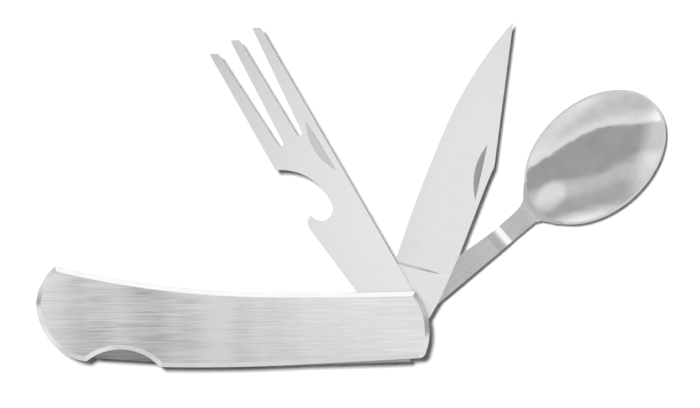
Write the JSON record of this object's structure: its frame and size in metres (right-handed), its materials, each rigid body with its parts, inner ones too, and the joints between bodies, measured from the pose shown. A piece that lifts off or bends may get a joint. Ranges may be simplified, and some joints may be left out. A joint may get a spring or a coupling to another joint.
{
  "type": "folding cutlery set",
  "caption": "Folding camp cutlery: a fork with a bottle opener, a knife blade and a spoon on one pivot in a riveted steel handle, with rocking lock bars in the spine.",
  "frame": {"origin": "on the pivot's axis, at the back scale's outer face", "axes": "+X from the butt to the pivot's end, +Y towards the side the tools open from, +Z out of the front scale, along the pivot"},
  "size_m": [0.2137, 0.1172, 0.0151],
  "materials": {
    "handle_steel": "brushed along the handle, with a polished bevel",
    "liner_steel": "ground sheet",
    "tool_steel": "fine satin",
    "bowl_steel": "mirror polished bowl, satin stem",
    "spring_steel": "tempered strip",
    "washer_brass": "plain shim"
  },
  "bodies": {
    "handle": {"front_scale": "handle_steel", "front_liner": "liner_steel", "rear_liner": "liner_steel", "back_scale": "handle_steel", "spoon_backspring": "handle_steel", "fork_lock_spring": "spring_steel", "blade_lock_spring": "spring_steel", "fork_butt_spacer": "handle_steel", "blade_butt_spacer": "handle_steel", "pivot_pin": "handle_steel", "lock_bar_pin": "handle_steel", "upper_butt_pin": "handle_steel", "lower_butt_pin": "handle_steel", "spring_rivet": "handle_steel", "fork_front_washer": "washer_brass", "fork_rear_washer": "washer_brass", "blade_front_washer": "washer_brass", "blade_rear_washer": "washer_brass", "spoon_front_washer": "washer_brass", "spoon_rear_washer": "washer_brass"},
    "fork": {"fork": "tool_steel"},
    "blade": {"knife_blade": "tool_steel"},
    "spoon": {"spoon": "bowl_steel"},
    "fork_lock": {"fork_lock_bar": "handle_steel"},
    "blade_lock": {"blade_lock_bar": "handle_steel"}
  },
  "joints": [
    {"name": "fork_hinge", "type": "hinge", "parent": "handle", "child": "fork", "pos_m": [0, 0, 0.00855], "axis": [0, 0, -1], "range_deg": [-54, 120]},
    {"name": "blade_hinge", "type": "hinge", "parent": "handle", "child": "blade", "pos_m": [0, 0, 0.00565], "axis": [0, 0, -1], "range_deg": [-103.6, 69.4]},
    {"name": "spoon_hinge", "type": "hinge", "parent": "handle", "child": "spoon", "pos_m": [0, 0, 0.00285], "axis": [0, 0, -1], "range_deg": [-139.1, 40.9]},
    {"name": "fork_lock_hinge", "type": "hinge", "parent": "handle", "child": "fork_lock", "pos_m": [-0.04, -0.0102, 0.00855], "axis": [0, 0, -1], "range_deg": [0, 1.2], "stiffness_Nm_per_rad": 1, "springref_deg": -17.19, "deforming": ["fork_lock_spring"]},
    {"name": "blade_lock_hinge", "type": "hinge", "parent": "handle", "child": "blade_lock", "pos_m": [-0.04, -0.0102, 0.00565], "axis": [0, 0, -1], "range_deg": [0, 1.2], "stiffness_Nm_per_rad": 1, "springref_deg": -17.19, "deforming": ["blade_lock_spring"]}
  ]
}
